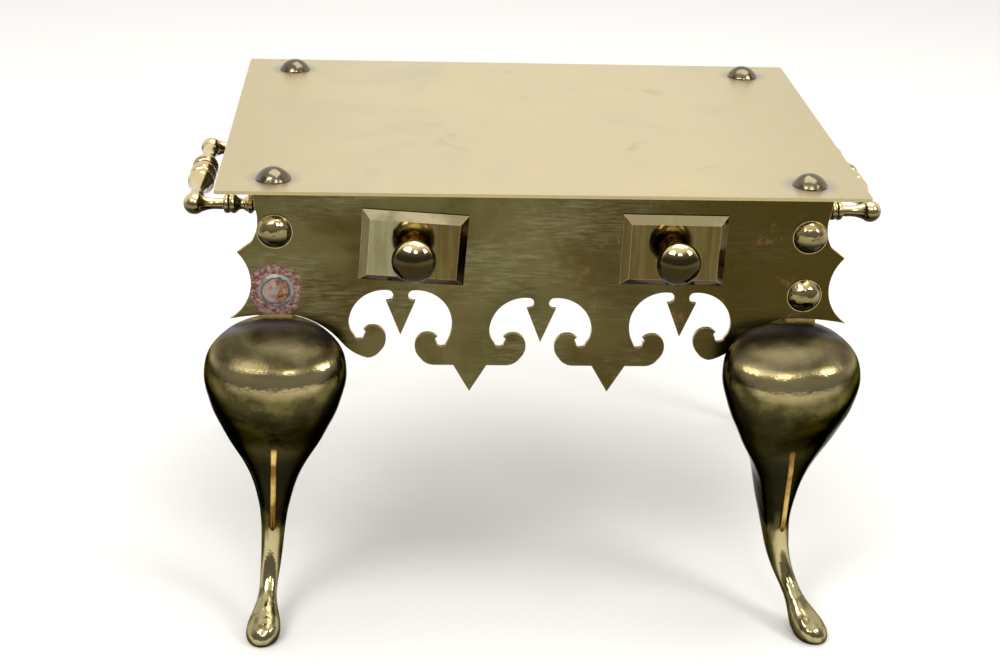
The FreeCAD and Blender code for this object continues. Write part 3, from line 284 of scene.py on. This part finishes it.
def leg_brass():
    """Knees with a rougher top painted darker as a reflection, painted black-green shade
    underneath, a gold painted highlight on the rib and painted highlights on the shanks.
    """
    shader = Shader("leg_brass")
    x, y, z = shader.axes()
    side = shader.facing_side()

    # Top of each knee: rougher, and painted darker as a reflection, with a painted bluish
    # reflection beside the apron.
    crown = shader.plus(shader.facing("Z"), shader.times(shader.noise(18, 3), 0.24))
    crown = shader.times(shader.ramp(crown, 0.54, 0.80), shader.ramp(z, 0.09, 0.12))
    crown = shader.times(crown, shader.ramp(side, 0.0, 1.0, 1.0, 0.45))
    stain = shader.ramp(shader.noise(26, 5, 0.6, distortion=1.0), 0.52, 0.72, 0.0, 0.6)
    # The bright colour, with real stains, that the facing mix paints on upward faces as a painted
    # highlight; duller low down.
    lit_brass = shader.mix(stain, colour(0.62, 0.51, 0.25), colour(0.34, 0.25, 0.13))
    low_down = shader.ramp(z, 0.080, 0.068)
    lit_brass = shader.mix(low_down, lit_brass, colour(0.43, 0.37, 0.19))
    painted_knee_top = shader.mix(shader.ramp(shader.noise(34, 4), 0.4, 0.65),
                          colour(0.070, 0.057, 0.025), colour(0.135, 0.112, 0.060))
    by_apron = shader.ramp(y, APRON_FACE_Y - 0.014, APRON_FACE_Y - 0.004, 0.0, 0.75)
    painted_knee_top = shader.mix(by_apron, painted_knee_top, colour(0.33, 0.325, 0.37))
    lit_brass = shader.mix(crown, lit_brass, painted_knee_top)

    streak = shader.noise(120, 3, 0.5, shader.stretch((1.0, 1.0, 0.10)))
    ragged = shader.plus(z, shader.times(streak, 0.012))
    # Painted highlight: below a ragged line the lower shank shifts towards the bright colour.
    shank = shader.ramp(ragged, SHANK_TOP_Z, SHANK_TOP_Z - 0.0085, 0.0, 0.42)
    black = colour(0.012, 0.011, 0.005)
    mottled = shader.mix(shader.ramp(shader.noise(60, 4, 0.6), 0.40, 0.62),
                         colour(0.046, 0.039, 0.014), colour(0.105, 0.086, 0.030))
    # Painted shading by facing: nearly black on faces that look down and darker on the sides of
    # the legs as painted shade.
    tint = shader.lit_and_shaded_by_facing(lit_brass, mottled, black, shader.plus(shank, shader.times(side, -0.50)),
                            30, (-0.56, -0.16), (-0.02, 0.40))
    # Painted shade: the shin below the knee goes nearly black.
    shin = shader.times(shader.ramp(ragged, 0.0680, 0.0760),
                        shader.ramp(z, 0.136, 0.112, 0.0, 0.92))
    tint = shader.mix(shin, tint, black)
    # Painted reflection: dark streaks down the lower shank.
    painted_dark_streaks = shader.times(shader.ramp(streak, 0.50, 0.62, 0.0, 0.7), low_down)
    tint = shader.mix(painted_dark_streaks, tint, colour(0.10, 0.08, 0.032))

    # Painted highlight: a gold line down the front of each rib.
    gold = shader.mix(shader.ramp(shader.noise(45, 4), 0.42, 0.60),
                      colour(0.20, 0.10, 0.025), colour(0.60, 0.42, 0.13))
    tint = shader.mix(rib_mask(shader, x, z), tint, gold)
    tang = shader.times(shader.ramp(y, APRON_FACE_Y, APRON_FACE_Y + 0.001),
                        shader.ramp(z, TANG_LOW_Z, TANG_LOW_Z + 0.002))
    crusty = shader.mix(shader.noise(200, 4, 0.7),
                        colour(0.20, 0.15, 0.05), colour(0.80, 0.66, 0.30))
    tint = shader.mix(tang, tint, crusty)

    shader.set("Base Color", tint)
    shader.set("Metallic", 1.0)
    shader.set("Specular Tint", colour(0.38, 0.38, 0.36))
    rough = shader.ramp(shader.noise(34, 5), 0.3, 0.7, 0.10, 0.20)
    rough = shader.plus(rough, shader.times(crown, 0.18))
    shader.set("Roughness", shader.plus(rough, shader.times(tang, 0.2)))
    lumps = shader.times(shader.noise(38, 3, 0.5), 8.0)
    fine = shader.noise(500, 2, 0.5)
    knuckles = shader.times(shader.noise(85, 2, 0.5), shader.ramp(z, 0.032, 0.018, 0.0, 16.0))
    shader.bump(shader.plus(shader.plus(lumps, fine), knuckles), 0.0001)
    return shader.material


def polished_brass(name, tint, groove, rough, lumps, lit_shift=0.0, hammered=0.0, deep=1.0, warm_y=None):
    """Turned or cast polished pieces with patches of tarnish, and painted shading by facing:
    bright where they look up, darker where upright or looking down.

    rub raises or lowers where the painted bright part gives way to painted shade, deep darkens
    the painted shade on upright faces, hammered is the count of dimples to the metre, and behind
    warm_y the metal is orange gold.
    """
    shader = Shader(name)
    shift = shader.ramp(shader.noise(60, 4, 0.6), 0.42, 0.75)
    body = shader.mix(shader.times(shift, 0.55), tint, groove)
    # Painted shading by facing: the upright colour and the near black colour below are painted
    # shade.
    upright = colour(0.20 * deep, 0.165 * deep, 0.070 * deep)
    body = shader.lit_and_shaded_by_facing(body, upright, colour(0.030, 0.022, 0.008), lit_shift, 60)
    if warm_y is not None:
        behind = shader.ramp(shader.axes()[1], warm_y - 0.002, warm_y + 0.002)
        body = shader.mix(behind, body, colour(0.85, 0.55, 0.20))
    # Sharp edges paler: partly edge wear, partly a painted highlight.
    edge_wear_and_highlight = shader.edge(0.0005)
    body = shader.mix(shader.times(edge_wear_and_highlight, 0.4), body, colour(0.72, 0.60, 0.34))
    shader.set("Base Color", body)
    shader.set("Metallic", 1.0)
    patchy = shader.ramp(shader.noise(90, 4), 0.3, 0.7, rough * 0.7, rough * 1.5)
    shader.set("Roughness", patchy)
    height = shader.noise(lumps, 3, 0.5)
    if hammered:
        height = shader.plus(height, shader.times(shader.cells(hammered), 3.0))
    shader.bump(height, 0.0003, 0.6)
    return shader.material


def plaque_brass():
    """Polished false drawer fronts: smooth upright faces with a painted reflection on their left
    half, upper bevels painted bright and the side and lower bevels painted dark as painted shade.
    """
    shader = Shader("plaque_brass")
    x = shader.axes()[0]
    middle = middle_x("left_plaque")
    brushed = shader.noise(70, 4, 0.6, shader.stretch((4.0, 1.0, 0.35)))
    cloud = shader.noise(24, 3, 0.5, shader.stretch((1.0, 1.0, 0.6)))
    sway = shader.times(shader.math("SUBTRACT", cloud, 0.5), 0.020)
    # Painted reflection: the left half of each upright face is paler, along a wavy line.
    left_half_reflection = shader.ramp(shader.plus(x, sway), middle - 0.014, middle + 0.013, 1.0, 0.0)
    lines = shader.ramp(brushed, 0.38, 0.62, 0.75, 1.0)
    left_half_reflection = shader.times(left_half_reflection, lines)
    deep = shader.mix(shader.ramp(brushed, 0.42, 0.62),
                      colour(0.078, 0.060, 0.018), colour(0.110, 0.090, 0.032))
    upright = shader.mix(left_half_reflection, deep, colour(0.235, 0.225, 0.125))
    # Painted shade: side bevels darker brown.
    upright = shader.mix(shader.facing_side(), upright, colour(0.085, 0.055, 0.020))
    # Painted shading by facing: the upper bevels bright, the lower bevel dark.
    top = shader.mix(shader.ramp(shader.noise(40, 3), 0.40, 0.60),
                     colour(0.34, 0.28, 0.15), colour(0.56, 0.48, 0.29))
    tint = shader.lit_and_shaded_by_facing(top, upright, colour(0.075, 0.040, 0.014), -0.02, 60)
    # Sharp edges paler: partly edge wear, partly a painted highlight.
    edge_wear_and_highlight = shader.edge(0.0006)
    tint = shader.mix(shader.times(edge_wear_and_highlight, 0.6), tint, colour(0.80, 0.64, 0.36))
    shader.set("Base Color", tint)
    shader.set("Metallic", 1.0)
    shader.set("Roughness", shader.ramp(shader.noise(60, 4), 0.3, 0.7, 0.06, 0.15))
    shader.bump(shader.plus(brushed, shader.noise(30, 3, 0.5)), 0.00008, 0.6)
    return shader.material


def scar_brass():
    """The stud without its dome: a grey ring round a rusty, half silvered middle."""
    shader = Shader("solder_scar")
    away = shader.distance(BARE_STUD, (1, 0, 1))
    away = shader.plus(away, shader.times(shader.noise(230, 4, 0.6), 0.0040))
    ring = shader.ramp(away, 0.0094, 0.0108)
    line = shader.times(shader.ramp(away, 0.0094, 0.0100), shader.ramp(away, 0.0110, 0.0104))
    grain = shader.noise(340, 4, 0.65)
    patch = shader.noise(150, 4, 0.6, distortion=0.6)
    lean = shader.times(shader.plus(shader.axes()[0], LEG_SPREAD), 28.0)
    silver = shader.ramp(shader.plus(patch, lean), 0.52, 0.40)
    rust = shader.mix(shader.ramp(grain, 0.4, 0.6),
                      colour(0.12, 0.050, 0.018), colour(0.34, 0.18, 0.115))
    rust = shader.mix(shader.times(silver, 0.75), rust, colour(0.40, 0.31, 0.28))
    tint = shader.mix(ring, rust, colour(0.27, 0.255, 0.255))
    tint = shader.mix(shader.times(line, 0.8), tint, colour(0.07, 0.06, 0.06))
    shader.set("Base Color", tint)
    shader.set("Metallic", 0.85)
    shader.set("Roughness", shader.ramp(grain, 0.3, 0.7, 0.34, 0.58))
    shader.bump(shader.plus(grain, patch), 0.0005)
    return shader.material


def iron(name, base, speck, rough, scale):
    """Dull iron or steel with flakes of another colour."""
    shader = Shader(name)
    flakes = shader.ramp(shader.noise(scale, 6, 0.65), 0.48, 0.66)
    shader.set("Base Color", shader.mix(flakes, base, speck))
    shader.set("Metallic", 0.8)
    patchy = shader.ramp(shader.noise(scale * 2, 4), 0.3, 0.7, rough - 0.08, rough + 0.1)
    shader.set("Roughness", patchy)
    shader.bump(shader.noise(scale * 1.6, 5, 0.6), 0.0003)
    return shader.material


gold = colour(0.78, 0.63, 0.33)
tarnish = colour(0.50, 0.36, 0.17)
paint(plate_brass(), "top_plate")
paint(apron_brass(), "front_apron")
paint(leg_brass(), "left_front_leg", "right_front_leg")
paint(polished_brass("stud_brass", colour(0.50, 0.41, 0.21), tarnish,
                     rough=0.12, lumps=160, lit_shift=0.05, hammered=190), "leg_studs")
paint(polished_brass("plate_stud_brass", colour(0.175, 0.150, 0.095), colour(0.13, 0.10, 0.06),
                     rough=0.15, lumps=160, lit_shift=-0.10, hammered=150),
      "plate_studs", "plate_stud_burrs")
paint(polished_brass("knob_brass", gold, tarnish,
                     rough=0.07, lumps=120, lit_shift=-0.22, deep=0.5, warm_y=KNOB_FOOT_Y),
      "left_knob", "right_knob")
paint(plaque_brass(), "left_plaque", "right_plaque")
paint(polished_brass("washer_brass", colour(0.60, 0.47, 0.24), tarnish, rough=0.3, lumps=120),
      "knob_washers")
paint(polished_brass("handle_brass", gold, tarnish, rough=0.13, lumps=140),
      "left_handle_front_arm", "left_handle_rear_arm", "right_handle_front_arm",
      "right_handle_rear_arm", "left_handle_grip", "right_handle_grip")
paint(scar_brass(), "bare_stud")
paint(iron("blackened_iron", colour(0.055, 0.05, 0.048), colour(0.105, 0.078, 0.06), 0.5, 90),
      "left_side_rail", "right_side_rail", "rear_rail", "left_rear_leg", "right_rear_leg")
paint(iron("rivet_iron", colour(0.09, 0.08, 0.075), colour(0.2, 0.15, 0.11), 0.42, 160),
      "rear_leg_rivets", "rear_rail_rivets")
paint(iron("nut_steel", colour(0.40, 0.38, 0.35), colour(0.22, 0.18, 0.15), 0.35, 160),
      "leg_stud_nuts", "knob_nuts", "handle_arm_nuts")


def make_floor():
    mesh = bpy.data.meshes.new("floor")
    signs = ((-1, -1), (1, -1), (1, 1), (-1, 1))
    corners = [(across * FLOOR_REACH, along * FLOOR_REACH, 0) for across, along in signs]
    mesh.from_pydata(corners, [], [(0, 1, 2, 3)])
    floor = bpy.data.objects.new("floor", mesh)
    bpy.context.collection.objects.link(floor)
    shader = Shader("floor")
    shader.set("Base Color", colour(0.86, 0.86, 0.85))
    shader.set("Roughness", 0.9)
    shader.set("Specular IOR Level", 0.1)
    mesh.materials.append(shader.material)


def make_world():
    """Bright behind and overhead, a dimmer room in front of the stand."""
    world = bpy.data.worlds.new("studio")
    world.use_nodes = True
    bpy.context.scene.world = world
    tree = world.node_tree
    background = tree.nodes["Background"]
    coords = tree.nodes.new("ShaderNodeTexCoord")
    split = tree.nodes.new("ShaderNodeSeparateXYZ")
    tree.links.new(coords.outputs["Generated"], split.inputs["Vector"])

    def slope(axis, low, high, dim):
        node = tree.nodes.new("ShaderNodeMapRange")
        node.interpolation_type = "SMOOTHSTEP"
        tree.links.new(split.outputs[axis], node.inputs["Value"])
        node.inputs["From Min"].default_value = low
        node.inputs["From Max"].default_value = high
        node.inputs["To Min"].default_value = dim
        node.inputs["To Max"].default_value = 0.95
        return node.outputs["Result"]

    room = tree.nodes.new("ShaderNodeMath")
    room.operation = "MAXIMUM"
    tree.links.new(slope("Y", -0.30, 0.40, 0.22), room.inputs[0])
    tree.links.new(slope("Z", 0.55, 0.85, 0.0), room.inputs[1])
    background.inputs["Color"].default_value = colour(1.0, 0.99, 0.97)
    tree.links.new(room.outputs["Value"], background.inputs["Strength"])


def lamp(name, place, target, wide, high, power, tint=(1.0, 0.97, 0.92)):
    data = bpy.data.lights.new(name, "AREA")
    data.shape = "RECTANGLE"
    data.size = wide
    data.size_y = high
    data.energy = power
    data.color = tint
    item = bpy.data.objects.new(name, data)
    bpy.context.collection.objects.link(item)
    item.location = place
    aim = (Vector(target) - Vector(place)).to_track_quat("-Z", "Y")
    item.rotation_mode = "QUATERNION"
    item.rotation_quaternion = aim


def make_camera():
    """Camera at the photograph's place."""
    yaw, pitch, roll = (math.radians(angle) for angle in (CAMERA_YAW, CAMERA_PITCH, CAMERA_ROLL))
    forward = Vector((math.sin(yaw) * math.cos(pitch), math.cos(yaw) * math.cos(pitch),
                      -math.sin(pitch)))
    level = Vector((math.cos(yaw), -math.sin(yaw), 0))
    upward = level.cross(forward)
    right = level * math.cos(roll) + upward * math.sin(roll)
    up = upward * math.cos(roll) - level * math.sin(roll)
    data = bpy.data.cameras.new("photo_camera")
    data.sensor_fit = "HORIZONTAL"
    data.sensor_width = 36.0
    data.lens = data.sensor_width * FOCAL_PIXELS / PHOTO_WIDTH
    camera = bpy.data.objects.new("photo_camera", data)
    bpy.context.collection.objects.link(camera)
    turn = Matrix((right, up, -forward)).transposed()
    camera.matrix_world = Matrix.Translation(CAMERA_PLACE) @ turn.to_4x4()
    bpy.context.scene.camera = camera


make_floor()
make_world()
lamp("key", (-0.9, -1.1, 1.7), (0, -0.05, 0.2), 0.9, 0.6, 18)
lamp("top", (0.2, 0.3, 2.0), (0, 0, 0.25), 1.6, 1.2, 19)
lamp("side", (1.3, -0.8, 1.35), (0, 0, 0.2), 0.5, 0.5, 9)
lamp("window", (0.2, -1.55, 1.55), (0, 0, 0.2), 0.45, 0.3, 5)
make_camera()
bpy.context.scene.view_settings.view_transform = "Standard"
